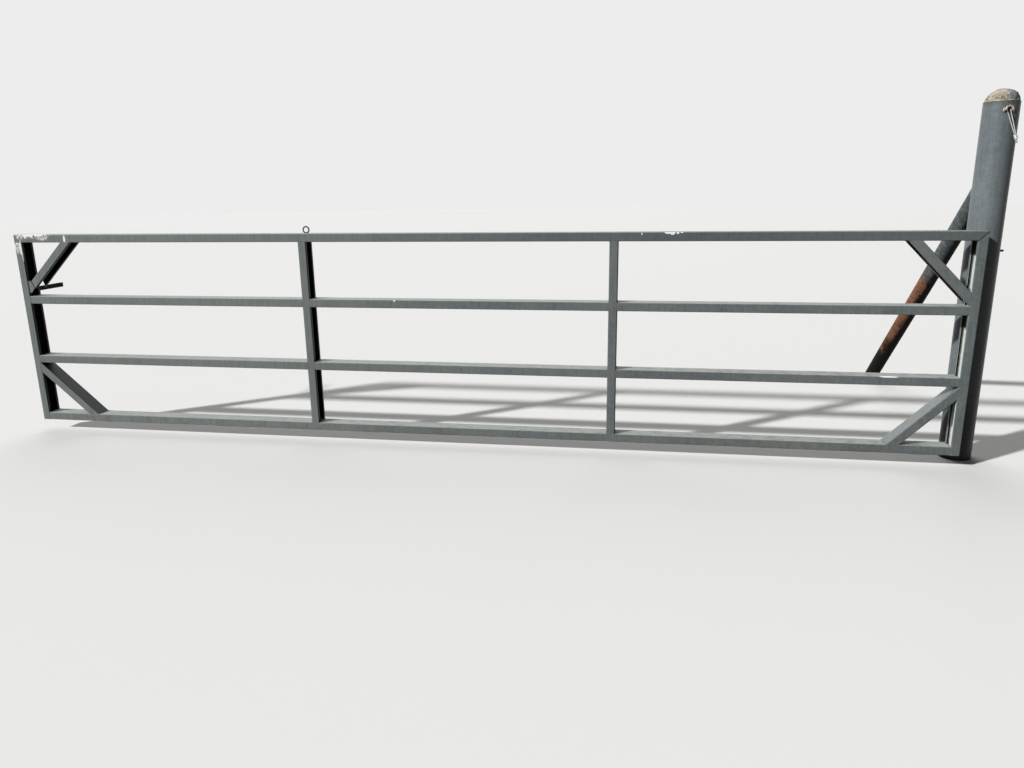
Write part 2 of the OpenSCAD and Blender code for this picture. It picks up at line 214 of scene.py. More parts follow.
bpy.ops.object.select_all(action="DESELECT")
bpy.ops.mesh.primitive_circle_add(vertices=128, radius=FLOOR_RADIUS, fill_type="NGON", location=(0, 0, 0))
floor = bpy.context.object
floor.name = "floor"
floor_material = bpy.data.materials.new("pale_floor")
floor_material.use_nodes = True
tree = floor_material.node_tree
floor_colour = add_node(
    tree, "Mix", {FACTOR: sees_studio(tree), MIX_A: "#464842", MIX_B: "#d1d1cf"}, data_type="RGBA")
floor_shader = tree.nodes["Principled BSDF"]
tree.links.new(floor_colour.outputs[MIXED], floor_shader.inputs["Base Color"])
floor_shader.inputs["Roughness"].default_value = 0.95
floor_shader.inputs["Specular IOR Level"].default_value = 0.1
floor.data.materials.append(floor_material)
print("floor", 2 * FLOOR_RADIUS, "m across")

# %% [markdown]
# ## Coats
# Every finish here is built like real paint, coat over coat. A coat is a colour with a mask, and the mask is
# where one or more values are past a band: noise for blotches, height for dirt near the ground, the normal for
# dust on what faces up. Noise is given by the size of its blotches in millimetres, so each pattern keeps its
# real scale.

# %% Coats
def start_material(name):
    """A new material with a Principled shader, and the object's coordinates in metres."""
    material = bpy.data.materials.new(name)
    material.use_nodes = True
    tree = material.node_tree
    shader = tree.nodes["Principled BSDF"]
    place = add_node(tree, "TexCoord").outputs["Object"]
    return material, tree, shader, place


def cloud(tree, place, size_mm, detail=4, roughness=0.6, stretch=(1, 1, 1)):
    """Noise with blotches about size_mm across, drawn out along the axes by stretch."""
    spread = add_node(tree, "Mapping", {"Vector": place, "Scale": [1 / s for s in stretch]})
    return add_node(tree, "TexNoise", {
        "Vector": spread.outputs[0], "Scale": 1000 / size_mm, "Detail": detail, "Roughness": roughness,
    }).outputs["Fac"]


def overlap(tree, *bands, strength=1):
    """A mask for where every value is past its band. A band is a value, where it starts to count, and where
    it counts fully."""
    mask = strength
    for value, start, full in bands:
        ramp = add_node(tree, "MapRange", {
            "Value": value, "From Min": start, "From Max": full}, interpolation_type="SMOOTHSTEP")
        mask = add_node(tree, "Math", {0: ramp.outputs[0], 1: mask}, operation="MULTIPLY").outputs[0]
    return mask


def coat(tree, under, over, *bands, strength=1):
    """One colour over another, where the bands allow."""
    mask = overlap(tree, *bands, strength=strength)
    return add_node(tree, "Mix", {FACTOR: mask, MIX_A: under, MIX_B: over}, data_type="RGBA").outputs[MIXED]


print("coats are mixed in linear light")

# %% [markdown]
# ## Satin enamel on mild steel
# Leaf and post are mild steel under a dark grey satin enamel, sprayed on. Sprayed enamel has a fine orange
# peel, a few millimetres from crest to crest. Sun and rain fade it unevenly and streak it downwards, and it
# is painted lighter towards the free end. Dust and chalk settle on what faces up, and mud splashes the foot.
# Edges lose paint first: a bevelled normal that differs from the true one finds them without extra geometry.
# The insides of most channels are painted near black, as painted shade in their hollows. Ambient occlusion
# that only counts the piece itself finds those faces, because a channel's outside hides nothing from itself.

# %% Satin enamel
PEEL_MM = 3
EDGE_MM = 5
INSIDE_REACH = 0.12
LIGHTER_FROM, LIGHTER_FULL = -1.8, -5.2
MUD_TOP, MUD_FULL = 0.42, 0.1
LEAF_PAINT, LEAF_FADED = "#555a5b", "#626766"
# Painted shade: near-black colours for the insides of the channels.
PAINTED_INSIDE_SHADE = ("#191715", "#33281f")


def enamel(name, paint, faded, inside=None, marks=None, last=None, gloss=0.42, weathered=1):
    """Satin enamel. inside is two colours for the inside of a channel: a near-black pair as painted shade, or
    the hinge stile's zinc. marks lays this piece's own marks, last lays a coat over everything, and weathered
    says how much dust and wear it shows."""
    material, tree, shader, place = start_material(name)
    axes = add_node(tree, "SeparateXYZ", {0: place}).outputs
    true_normal = add_node(tree, "NewGeometry").outputs["Normal"]
    facing_up = add_node(tree, "SeparateXYZ", {0: true_normal}).outputs["Z"]

    colour = coat(tree, paint, faded, (cloud(tree, place, 420), 0.35, 0.7))
    # The paint is made lighter towards the free end.
    colour = coat(tree, colour, "#757a78", (axes["X"], LIGHTER_FROM, LIGHTER_FULL), strength=0.6)
    streaks = (cloud(tree, place, 14, stretch=(1, 1, 14)), 0.42, 0.68)
    colour = coat(tree, colour, "#3f4545", streaks, strength=0.3)
    colour = coat(tree, colour, "#747978", (cloud(tree, place, 22, 5, 0.7), 0.4, 0.75), strength=0.4)
    mud = (cloud(tree, place, 60, 5, 0.65), 0.5, 0.65)
    colour = coat(tree, colour, "#62594b", (axes["Z"], MUD_TOP, MUD_FULL), mud, strength=0.5)
    dusty = ((facing_up, 0.7, 0.98), (cloud(tree, place, 60, 5), 0.2, 0.6))
    colour = coat(tree, colour, "#969b95", *dusty, strength=0.78 * weathered)

    rounded = add_node(tree, "Bevel", {"Radius": EDGE_MM * MM}, samples=6).outputs[0]
    flatness = add_node(tree, "VectorMath", {0: rounded, 1: true_normal}, operation="DOT_PRODUCT")
    at_edge = (flatness.outputs["Value"], 0.985, 0.9)
    rubbed = (cloud(tree, place, 22, 5, 0.7), 0.5, 0.62)
    colour = coat(tree, colour, "#7d8280", at_edge, rubbed, strength=0.55 * weathered)
    chips = (cloud(tree, place, 16, 4, 0.7), 0.68, 0.72)
    colour = coat(tree, colour, "#c4c8c2", at_edge, chips, strength=weathered)
    rust_specks = (cloud(tree, place, 9, 4, 0.7), 0.66, 0.7)
    colour = coat(tree, colour, "#5b3a2a", at_edge, rust_specks, strength=weathered)
    if marks:
        colour = marks(tree, place, axes, colour)
    if inside:
        # Faces inside the piece's own channel take the inside colours: painted shade, or the hinge stile's
        # zinc.
        openness = add_node(tree, "AmbientOcclusion", {"Distance": INSIDE_REACH}, samples=8, only_local=True)
        zinc_or_painted_shade = coat(tree, inside[0], inside[1], (cloud(tree, place, 26, 5, 0.65), 0.4, 0.7))
        colour = coat(tree, colour, zinc_or_painted_shade, (openness.outputs["AO"], 0.95, 0.75))
    if last:
        colour = last(tree, place, axes, colour)

    dust = overlap(tree, *dusty)
    dull = add_node(tree, "MapRange", {"Value": dust, "To Min": gloss, "To Max": 0.7}).outputs[0]
    wave = add_node(tree, "Bump", {
        "Strength": 0.5, "Distance": 0.6 * MM, "Height": cloud(tree, place, 110, 2)}).outputs[0]
    peel = add_node(tree, "Bump", {
        "Strength": 0.4, "Distance": 0.12 * MM, "Height": cloud(tree, place, PEEL_MM, 2), "Normal": wave})
    tree.links.new(colour, shader.inputs["Base Color"])
    tree.links.new(dull, shader.inputs["Roughness"])
    tree.links.new(peel.outputs[0], shader.inputs["Normal"])
    shader.inputs["Specular IOR Level"].default_value = 0.13
    print(name, "is built from", len(tree.nodes), "nodes")
    return material


print("the peel's crests are", PEEL_MM, "mm apart, and edges are worn", EDGE_MM, "mm wide")

# %% [markdown]
# ## Marks on the leaf
# A worn spot is the inside of an egg: its place and three half sizes are given, and noise frays its rim. One
# such pale spot lies on the lower rail near the hinge end. A herd, a chain and many hands have rubbed the free
# end, where the top edge and the stile show pale primer in scallops. Some are bare all over, some are only
# flecked, and one still has paint in its middle. A few chips lie on the top rail past the second inner stile.
# A ground splice shows as a pale stroke. Where two pieces were cut to meet at a slant and ground flush, only
# a dark line is left.

# %% Worn spots and dark lines
PRIMER = "#dfe1dc"
SEAM_DARK = "#111415"
FAR_OFF = 9
FRAY = 1.9
MITRE_HALF = 4.5 * MM
CUT_HALF = 8 * MM
CUT_LEAN = 0.384
CUT_PLACE = (-5918.7 * MM, 0, 1044.3 * MM)
CUT_LOW, CUT_HIGH, CUT_FADE = 952 * MM, 1056 * MM, 4 * MM


def worn_spots(tree, place, marks):
    """A frayed distance: about 1 in the middle of the nearest egg, and 2 on its rim. Each mark is in mm: along
    from the free end, down from the top, and half its length, height and depth."""
    nearest = FAR_OFF
    for along, down, half_long, half_high, half_deep in marks:
        centre = (LEAF_START + along * MM, LEAF_FRONT, LEAF_TOP - down * MM)
        half = (half_long * MM, half_deep * MM, half_high * MM)
        scaled = add_node(tree, "Mapping", {
            "Vector": place,
            "Scale": [1 / size for size in half],
            "Location": [-middle / size for middle, size in zip(centre, half)]})
        far = add_node(tree, "VectorMath", {0: scaled.outputs[0]}, operation="LENGTH").outputs["Value"]
        nearest = add_node(tree, "Math", {0: far, 1: nearest}, operation="MINIMUM").outputs[0]
    rough = cloud(tree, place, 11, 5, 0.75)
    return add_node(tree, "Math", {0: rough, 1: FRAY, 2: nearest}, operation="MULTIPLY_ADD").outputs[0]


def seam_line(tree, place, colour, across, start, half, *bands):
    """A dark line where a plane cuts the leaf. across is the plane's normal, start a point of the line, and
    half its half width, times the length of that normal."""
    offset = Vector(across).dot(start)
    along = add_node(tree, "VectorMath", {0: place, 1: across}, operation="DOT_PRODUCT").outputs["Value"]
    off_line = add_node(tree, "Math", {0: along, 1: offset}, operation="SUBTRACT").outputs[0]
    distance = add_node(tree, "Math", {0: off_line}, operation="ABSOLUTE").outputs[0]
    return coat(tree, colour, SEAM_DARK, (distance, half, half / 2), *bands)


def mitre_line(tree, place, axes, colour):
    """The mitre of the top rail and the hinge stile."""
    return seam_line(tree, place, colour, (1, 0, -1), (LEAF_END, 0, LEAF_TOP), MITRE_HALF)


def cut_line(tree, place, axes, colour):
    """The cut end of the upper free brace, which stops short of its stile."""
    above = (axes["Z"], CUT_LOW - CUT_FADE, CUT_LOW)
    below = (axes["Z"], CUT_HIGH + CUT_FADE, CUT_HIGH)
    return seam_line(tree, place, colour, (1, 0, CUT_LEAN), CUT_PLACE, CUT_HALF, above, below)


def painted_right_shade(tree, colour):
    """Faces that look to the right are painted a bluish near black, as painted shade."""
    normal = add_node(tree, "NewGeometry").outputs["Normal"]
    facing_right = add_node(tree, "SeparateXYZ", {0: normal}).outputs["X"]
    # Painted shade: a bluish near black on faces that look right.
    return coat(tree, colour, "#1b1e23", (facing_right, 0.3, 0.6), strength=0.9)


print("the cut end's line is", round((CUT_HIGH - CUT_LOW) / MM), "mm high")

# %% Marks of each part of the leaf
DARK_FROM, DARK_FULL = -3.6, -1.6
PALE_MARK = (5505, 813, 56, 5, 16)
RAIL_CHIP = (2600, 411, 6, 6, 6)
FLECKED = ((46, 11, 24, 24, 60), (208, 12, 50, 24, 60), (20, 86, 22, 36, 60))
BARE = (
    (113, 7, 38, 24, 60), (186, 1, 32, 9, 60), (43, 88, 12, 48, 8), (49, 132, 5, 44, 8), (375, 26, 8, 24, 7),
    (4246, -2, 22, 11, 8), (4272, -1, 16, 14, 8), (4302, -1, 7, 10, 8), (4324, -2, 7, 7, 8), (4100, 8, 3, 6, 5))
HEALED = ((115, 31, 25, 18, 20),)


def leaf_marks(tree, place, axes, colour):
    """The dark line at the cut end, painted shade on what faces right, and one pale spot and one chip on the
    rails.
    """
    colour = painted_right_shade(tree, cut_line(tree, place, axes, colour))
    return coat(tree, colour, PRIMER, (worn_spots(tree, place, (PALE_MARK, RAIL_CHIP)), 2.0, 1.8), strength=0.9)


def free_end_marks(tree, place, axes, colour):
    """Darker paint towards the hinge, the dark lines, painted shade on what faces right, and the bare and
    flecked spots of top rail and stile.
    """
    colour = coat(tree, colour, "#454a4b", (axes["X"], DARK_FROM, DARK_FULL), strength=0.5)
    colour = painted_right_shade(tree, cut_line(tree, place, axes, mitre_line(tree, place, axes, colour)))
    flecks = (cloud(tree, place, 9, 4, 0.7), 0.47, 0.55)
    colour = coat(tree, colour, PRIMER, (worn_spots(tree, place, FLECKED), 2.05, 1.85), flecks, strength=0.95)
    colour = coat(tree, colour, PRIMER, (worn_spots(tree, place, BARE), 2.0, 1.85), strength=0.95)
    return coat(tree, colour, LEAF_FADED, (worn_spots(tree, place, HEALED), 2.0, 1.85), strength=0.9)


leaf_enamel = enamel("leaf_enamel", LEAF_PAINT, LEAF_FADED, PAINTED_INSIDE_SHADE, leaf_marks)
weld_enamel = enamel("weld_enamel", LEAF_PAINT, LEAF_FADED, weathered=0.15)
scuffed_enamel = enamel("scuffed_enamel", LEAF_PAINT, LEAF_FADED, PAINTED_INSIDE_SHADE, free_end_marks)

# %% [markdown]
# ## A stile with a zinc lining
# The hinge stile was cut from galvanised stock. Its outside wears the same enamel as the rest, but inside
# the bare zinc is still pale, and so is its front lip. They show as a bright strip beside the stile. The back
# lip is painted darker, and behind it and close under each rail near black, as painted shade and shadow.

# %% Enamel over zinc
ZINC = ("#b0b5b0", "#c8ccc6")
# A near black that stands in for shade and for the rails' shadows.
PAINTED_SHADE = "#1d1b18"
STILE_MOUTH = LEAF_END - WIDTH
RAIL_STEP = 406.4 * MM
# How far below each rail the painted shadow reaches.
RAIL_SHADOW_DROP = 75 * MM


def lip_and_painted_shade(tree, place, axes, colour):
    """The bright front lip, the darker back lip with painted shade behind it, and painted shadow under each
    rail.
    """
    next_rail = LEAF_TOP - WIDTH
    below_rail = add_node(tree, "Math", {
        0: axes["Z"], 1: next_rail, 2: next_rail - RAIL_STEP}, operation="WRAP").outputs[0]
    on_lip = (axes["X"], STILE_MOUTH + 2 * MM, STILE_MOUTH + 1 * MM)
    near_lip = (axes["X"], STILE_MOUTH + 20 * MM, STILE_MOUTH + 14 * MM)
    before_web = (axes["X"], LEAF_END - 1.5 * MM, LEAF_END - 2.5 * MM)
    behind_flange = (axes["Y"], LEAF_FRONT + 6 * MM, LEAF_FRONT + 9 * MM)
    front_half = (axes["Y"], MIDDLE + 1 * MM, MIDDLE)
    back_half = (axes["Y"], LEAF_BACK - 20 * MM, LEAF_BACK - 17 * MM)
    before_flange = (axes["Y"], LEAF_BACK - 2 * MM, LEAF_BACK - 2.5 * MM)
    colour = coat(tree, colour, ZINC[0], on_lip, front_half, behind_flange)
    # Painted shade behind the back lip.
    colour = coat(tree, colour, PAINTED_SHADE, near_lip, back_half, before_flange)
    # The back lip is painted darker.
    colour = coat(tree, colour, "#484c4b", on_lip, back_half, before_flange)
    # Painted shadow under each rail, where the rail's shadow falls.
    rail_shadow = (below_rail, next_rail - RAIL_SHADOW_DROP - 15 * MM, next_rail - RAIL_SHADOW_DROP)
    return coat(tree, colour, PAINTED_SHADE, rail_shadow, before_web, behind_flange, before_flange, strength=0.9)


zinc_lined_enamel = enamel(
    "zinc_lined_enamel", LEAF_PAINT, LEAF_FADED, ZINC, mitre_line, lip_and_painted_shade)

# %% [markdown]
# ## The post's enamel
# The same enamel covers the pipe, a little bluer. Water that runs off the concrete stains the rim, and rust
# bleeds from the welds of the eye. Both are rust browns under a mask: one by height, one by the distance
# from the eye. The foot is painted near black in patches, as painted shade.

# %% Post enamel
# How high the painted shade at the foot reaches.
FOOT_SHADE_TOP, FOOT_SHADE_FULL = 0.5, 0.15
RIM_STAIN = 30 * MM
EYE_STAIN, EYE_STAIN_FULL = 60 * MM, 20 * MM
EYE_PLACE = Vector((-math.sin(EYE_TURN) * EYE_Y, math.cos(EYE_TURN) * EYE_Y, EYE_Z + 10 * MM))


def post_marks(tree, place, axes, colour):
    """Painted shade at the foot, a stain below the rim, and rust round the eye."""
    # Painted shade: the foot is darkened in patches.
    foot_shade_patches = (cloud(tree, place, 70, 5, 0.65), 0.2, 0.5)
    colour = coat(tree, colour, "#1f2123", (axes["Z"], FOOT_SHADE_TOP, FOOT_SHADE_FULL), foot_shade_patches, strength=0.75)
    near_rim = (axes["Z"], POST_TOP - RIM_STAIN, POST_TOP)
    rim_patches = (cloud(tree, place, 16, 5, 0.7), 0.62, 0.45)
    colour = coat(tree, colour, "#3d3733", near_rim, rim_patches, strength=0.6)
    from_eye = add_node(tree, "VectorMath", {0: place, 1: EYE_PLACE}, operation="DISTANCE").outputs["Value"]
    bled = (cloud(tree, place, 12, 5, 0.7), 0.35, 0.6)
    return coat(tree, colour, "#4a3a34", (from_eye, EYE_STAIN, EYE_STAIN_FULL), bled, strength=0.8)


post_enamel = enamel("post_enamel", "#545a5e", "#5f6568", marks=post_marks, gloss=0.34)

# %% [markdown]
# ## The propping pipe
# The diagonal pipe was painted once and never again. Near the post the old dark coat holds. Further down
# its sunny side has gone to orange-brown rust. The side that faces right, rust and old coat alike, is painted
# near black as painted shade. Near the ground wet grass has blackened it. The height and the way a face looks
# tell these zones apart, with noise to fray their borders.

# %% Rusting pipe
PAINT_ENDS, PAINT_BORDER = 1.06, 0.05
SOIL_BLACK, SOIL_BORDER = 0.5, 0.16

rusting_pipe, tree, shader, place = start_material("rusting_pipe")
height = add_node(tree, "SeparateXYZ", {0: place}).outputs["Z"]
facing = add_node(tree, "SeparateXYZ", {0: add_node(tree, "NewGeometry").outputs["Normal"]}).outputs["X"]
fray = add_node(tree, "Math", {
    0: cloud(tree, place, 70, 5, 0.65, (1, 3, 2.5)), 1: 0.5}, operation="SUBTRACT").outputs[0]
ragged = add_node(tree, "Math", {0: fray, 1: 0.9, 2: height}, operation="MULTIPLY_ADD").outputs[0]
# Painted shade: the more a face looks right, the nearer black it is painted.
painted_shade_side = add_node(tree, "Math", {0: fray, 1: 1.5, 2: facing}, operation="MULTIPLY_ADD").outputs[0]
rust = coat(tree, "#4f3427", "#7b543f", (cloud(tree, place, 24, 6, 0.7), 0.35, 0.65))
rust = coat(tree, rust, "#a98b7c", (cloud(tree, place, 8, 4, 0.7), 0.52, 0.72))
rust = coat(tree, rust, "#1c1a19", (painted_shade_side, -0.45, -0.15))
old_coat = coat(tree, "#44484a", "#5d6263", (cloud(tree, place, 35, 5), 0.4, 0.7))
old_coat = coat(tree, old_coat, "#1f2123", (painted_shade_side, -0.3, 0.2), strength=0.85)
colour = coat(tree, rust, old_coat, (ragged, PAINT_ENDS - PAINT_BORDER, PAINT_ENDS + PAINT_BORDER))
colour = coat(tree, colour, "#14110d", (ragged, SOIL_BLACK + SOIL_BORDER, SOIL_BLACK - SOIL_BORDER))
pitting = add_node(tree, "Bump", {
    "Strength": 0.7, "Distance": 0.8 * MM, "Height": cloud(tree, place, 7, 5, 0.7)}).outputs[0]
tree.links.new(colour, shader.inputs["Base Color"])
tree.links.new(pitting, shader.inputs["Normal"])
shader.inputs["Roughness"].default_value = 0.78
shader.inputs["Specular IOR Level"].default_value = 0.06
print(rusting_pipe.name, "keeps its paint above", PAINT_ENDS, "m")

# %% [markdown]
# ## Rust on bare bar
# The ring, the stop bar, the rod and the eye were made from bare bar and never painted. Old surface rust is
# a matt brown skin. On the ring, the stop bar and the rod it is painted near black, partly as painted shade.
# On the eye it has dried in the sun to a paler, pinkish bloom.

# %% Rusty bar
def rusty_bar(name, deep, bloom):
    material, tree, shader, place = start_material(name)
    skin = coat(tree, deep, bloom, (cloud(tree, place, 10, 5, 0.7), 0.35, 0.65))
    skin = coat(tree, skin, "#2e1f19", (cloud(tree, place, 3, 4, 0.7), 0.62, 0.7), strength=0.7)
    crust = add_node(tree, "Bump", {
        "Strength": 0.8, "Distance": 0.5 * MM, "Height": cloud(tree, place, 4, 5, 0.7)}).outputs[0]
    tree.links.new(skin, shader.inputs["Base Color"])
    tree.links.new(crust, shader.inputs["Normal"])
    shader.inputs["Roughness"].default_value = 0.85
    shader.inputs["Specular IOR Level"].default_value = 0.15
    print(name, "blooms from", deep, "to", bloom)
    return material


# Near-black rust: partly rust, partly painted shade.
rust_and_painted_shade = rusty_bar("rust_and_painted_shade", "#16120f", "#2e2620")
pink_rust = rusty_bar("pink_rust", "#553b38", "#c0b0ab")

# %% [markdown]
# ## Pins, washers and fence wire
# The pins and washers are turned steel under old grease: dark, with a dull gleam. The fence wire is
# galvanised: a pale zinc skin with a faint grey cloud in it.

# %% Greased steel and zinc
greased_steel, tree, shader, place = start_material("greased_steel")
film = cloud(tree, place, 8)
gleam = add_node(tree, "MapRange", {"Value": film, "To Min": 0.25, "To Max": 0.6}).outputs[0]
tree.links.new(coat(tree, "#3b3835", "#807b74", (film, 0.35, 0.7)), shader.inputs["Base Color"])
tree.links.new(gleam, shader.inputs["Roughness"])
shader.inputs["Metallic"].default_value = 0.8

zinc_wire, tree, shader, place = start_material("zinc_wire")
greyed = (cloud(tree, place, 9), 0.35, 0.7)
tree.links.new(coat(tree, "#a9acab", "#d0d2cf", greyed), shader.inputs["Base Color"])
shader.inputs["Metallic"].default_value = 0.6
shader.inputs["Roughness"].default_value = 0.42
print("metals:", greased_steel.name, zinc_wire.name)

# %% [markdown]
# ## Weathered concrete
# The concrete was trowelled by hand into a mound and left to the rain. Cement paste has washed off, so
# pebbles show, and lichen has grown in olive and cream patches. The side away from the sun is painted bluish
# grey, as painted shade. A Voronoi pattern makes the pebbles, and noise at three sizes lays lichen and grime
# over them.

# %% Concrete
PEBBLE_MM = 9
# The way towards the side of the mound that is away from the sun.
SHADE_SIDE = (0.93, -0.37, 0)

old_concrete, tree, shader, place = start_material("old_concrete")
axes = add_node(tree, "SeparateXYZ", {0: place}).outputs
pebbles = add_node(tree, "TexVoronoi", {"Vector": place, "Scale": 1000 / PEBBLE_MM, "Randomness": 1.0})
tone = add_node(tree, "HueSaturation", {
    "Color": pebbles.outputs["Color"], "Saturation": 0.15, "Value": 0.6}).outputs[0]
colour = coat(tree, "#736a5b", "#a0988a", (cloud(tree, place, 28, 5), 0.3, 0.7))
colour = coat(tree, colour, tone, (pebbles.outputs["Distance"], 0.6, 0.2), strength=0.3)
olive = (cloud(tree, place, 20, 6, 0.7), 0.45, 0.56)
colour = coat(tree, colour, "#5d5636", olive, (axes["Z"], MOUND_TOP - 15 * MM, POST_TOP), strength=0.9)
# Painted shade: the side away from the sun turns bluish grey.
toward_shade = add_node(tree, "VectorMath", {0: place, 1: SHADE_SIDE}, operation="DOT_PRODUCT").outputs["Value"]
greyed = (cloud(tree, place, 26, 5), 0.25, 0.5)
colour = coat(tree, colour, "#5f6b6f", (toward_shade, 15 * MM, 50 * MM), greyed, strength=0.9)
grime = (cloud(tree, place, 8, 5, 0.7), 0.56, 0.62)
colour = coat(tree, colour, "#332f22", grime, (axes["Z"], MOUND_TOP, POST_TOP + 25 * MM), strength=0.8)
colour = coat(tree, colour, "#c9c8b8", (cloud(tree, place, 11), 0.62, 0.67), strength=0.8)
ledge = (axes["Z"], POST_TOP + 7 * MM, POST_TOP + 3 * MM)
colour = coat(tree, colour, "#a59f8c", ledge, (cloud(tree, place, 14, 5), 0.4, 0.55), strength=0.6)
stones = add_node(tree, "Bump", {
    "Strength": 0.8, "Distance": 2 * MM, "Height": pebbles.outputs["Distance"]}, invert=True).outputs[0]
sand = cloud(tree, place, 3, 5, 0.7)
grit = add_node(tree, "Bump", {
    "Strength": 0.8, "Distance": 1 * MM, "Height": sand, "Normal": stones}).outputs[0]
tree.links.new(colour, shader.inputs["Base Color"])
tree.links.new(grit, shader.inputs["Normal"])
shader.inputs["Roughness"].default_value = 0.92
print(old_concrete.name, "has pebbles of", PEBBLE_MM, "mm")

# %% [markdown]
# ## Paint the solids
# Each solid keeps its shape and only gets its finish. Names ask for a finish by what the piece is made
# of, so a new rail or brace would be painted without another line.

# %% Finishes of the solids
FINISHES = {
    "worn_leaf_paint": scuffed_enamel,
    "leaf_paint": leaf_enamel,
    "post_paint": post_enamel,
    "brace_paint": rusting_pipe,
    "rusty_steel": rust_and_painted_shade,
    "pin_steel": greased_steel,
    "fence_wire": zinc_wire,
    "post_concrete": old_concrete,
}
for part in frame["record"]["subparts"]:
    solid = nodes[part["node"]]
    solid.data.materials.clear()
    solid.data.materials.append(FINISHES[part["material_slot"]])
nodes["post_eye"].data.materials[0] = pink_rust
nodes["hinge_stile"].data.materials[0] = zinc_lined_enamel
print("finishes:", len(FINISHES))

# %% [markdown]
# ## Weld beads
# Every joint of the leaf is a run of weld. A welder moves the torch in short steps, and each step leaves
# a ripple that overlaps the last. So one ripple is modelled, an Array modifier repeats it along the
# length of a guide curve, and a Curve modifier bends the row along that guide. The same tool follows a
# channel's end, a round foot or the saddle of a pipe.

# %% One weld run along a guide
BEAD_R = 3.4 * MM
STEP = 2.9 * MM
SUNK = 3.1 * MM


def lay_bead(points, closed=False, radius=BEAD_R):
    """A row of weld ripples along the points, as an object of its own."""
    guide_data = bpy.data.curves.new("guide", "CURVE")
    guide_data.dimensions = "3D"
    line = guide_data.splines.new("POLY")
    line.points.add(len(points) - 1)
    for spot, point in zip(line.points, points):
        spot.co = (*point, 1)
    line.use_cyclic_u = closed
    guide = bpy.data.objects.new("guide", guide_data)
    bpy.context.collection.objects.link(guide)

    bpy.ops.object.select_all(action="DESELECT")
    bpy.ops.mesh.primitive_uv_sphere_add(segments=6, ring_count=4, radius=radius, scale=(0.75, 1, 1))
    bead = bpy.context.object
    bpy.ops.object.transform_apply(location=True, rotation=True, scale=True)
    row = bead.modifiers.new("row", "ARRAY")
    row.fit_type = "FIT_CURVE"
    row.curve = guide
    row.use_relative_offset = False
    row.use_constant_offset = True
    row.constant_offset_displace = (STEP, 0, 0)
    follow = bead.modifiers.new("follow", "CURVE")
    follow.object = guide
    bpy.ops.object.modifier_apply(modifier="row")
    bpy.ops.object.modifier_apply(modifier="follow")
    bpy.data.objects.remove(guide)
    return bead


def join_beads(name, beads, material, body):
    """All the runs of one body as one piece, with the small unevenness that a hand leaves."""
    bpy.ops.object.select_all(action="DESELECT")
    for bead in beads:
        bead.select_set(True)
    bpy.context.view_layer.objects.active = beads[0]
    if len(beads) > 1:
        bpy.ops.object.join()
    piece = bpy.context.object
    piece.name = name
    piece.data.name = name
    hand = bpy.data.textures.new(name + "_hand", "CLOUDS")
    hand.noise_scale = 7 * MM
    uneven = piece.modifiers.new("uneven", "DISPLACE")
    uneven.texture = hand
    uneven.texture_coords = "LOCAL"
    uneven.strength = 1.2 * MM
    uneven.mid_level = 0.6
    bpy.ops.object.modifier_apply(modifier="uneven")
    bpy.ops.object.shade_smooth()
    piece.data.materials.clear()
    piece.data.materials.append(material)
    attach(piece, body)
    print(name, "has", len(beads), "runs and", len(piece.data.polygons), "faces")


print("a bead is", round(2 * BEAD_R / MM, 1), "mm wide, with a ripple every", round(STEP / MM, 1), "mm")

# %% [markdown]
# ## Guides round a channel's end
# A channel has three closed sides, and two lips on the fourth. Where it butts against a closed face, one run
# goes from lip to lip round all of them. Where it butts against the open side of its neighbour, there is
# nothing to weld to in the middle, so a front and a back run turn a little way round and stop.

# %% Guides round a channel's end
CORNER = 5 * MM
UP = Vector((0, 0, WIDTH / 2))
ALONG = Vector((WIDTH / 2, 0, 0))
TO_BACK = Vector((0, DEPTH / 2 - SUNK, 0))


def soften(points, closed=False, corner=CORNER):
    """The same path with its corners cut, as the torch takes them."""
    path = []
    for k, point in enumerate(points):
        if not closed and k in (0, len(points) - 1):
            path.append(point)
            continue
        before, after = points[k - 1], points[(k + 1) % len(points)]
        path.append(point + (before - point).normalized() * corner)
        path.append(point + (after - point).normalized() * corner)
    return path


def channel_end(centre, to_web, split):
    """The runs round a channel's end. to_web goes from the end's centre to the middle of its web."""
    lip_end = TO_BACK * (1 - (LIP - SUNK) / TO_BACK.length)
    corners = [
        centre - to_web - lip_end, centre - to_web - TO_BACK, centre + to_web - TO_BACK,
        centre + to_web + TO_BACK, centre - to_web + TO_BACK, centre - to_web + lip_end]
    if not split:
        return [soften(corners)]
    front = corners[:3] + [centre + to_web - lip_end]
    back = [centre + to_web + lip_end] + corners[3:]
    return [soften(front), soften(back)]


def rail_ends(name):
    """The seams of a rail. A right end at an inner stile meets its web, and every other end an open side."""
    low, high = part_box(name)
    height = (low.z + high.z) / 2
    last = name == "bottom_rail" or name.endswith("right")
    return (
        channel_end(Vector((low.x, MIDDLE, height)), UP, split=True)
        + channel_end(Vector((high.x, MIDDLE, height)), UP, split=last))


def stile_ends(name):
    """The seams of an inner stile: the top rail's underside is open, and the bottom rail's top is closed."""
    low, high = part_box(name)
    across = (low.x + high.x) / 2
    return (
        channel_end(Vector((across, MIDDLE, high.z)), -ALONG, split=True)
        + channel_end(Vector((across, MIDDLE, low.z)), -ALONG, split=False))


print("the bottom rail's ends have", len(rail_ends("bottom_rail")), "runs")

# %% [markdown]
# ## Guides at braces and plates
# A corner brace meets the stile and the rail at a slant, so its ends are longer than the channel is wide. The
# slope of the brace gives both lengths: the width over the cosine on the stile, and over the sine on the
# rail. The upper brace at the free end never reaches its stile, and only its rail end is welded.

# %% Guides at braces and plates
SMALL_CORNER = 3 * MM


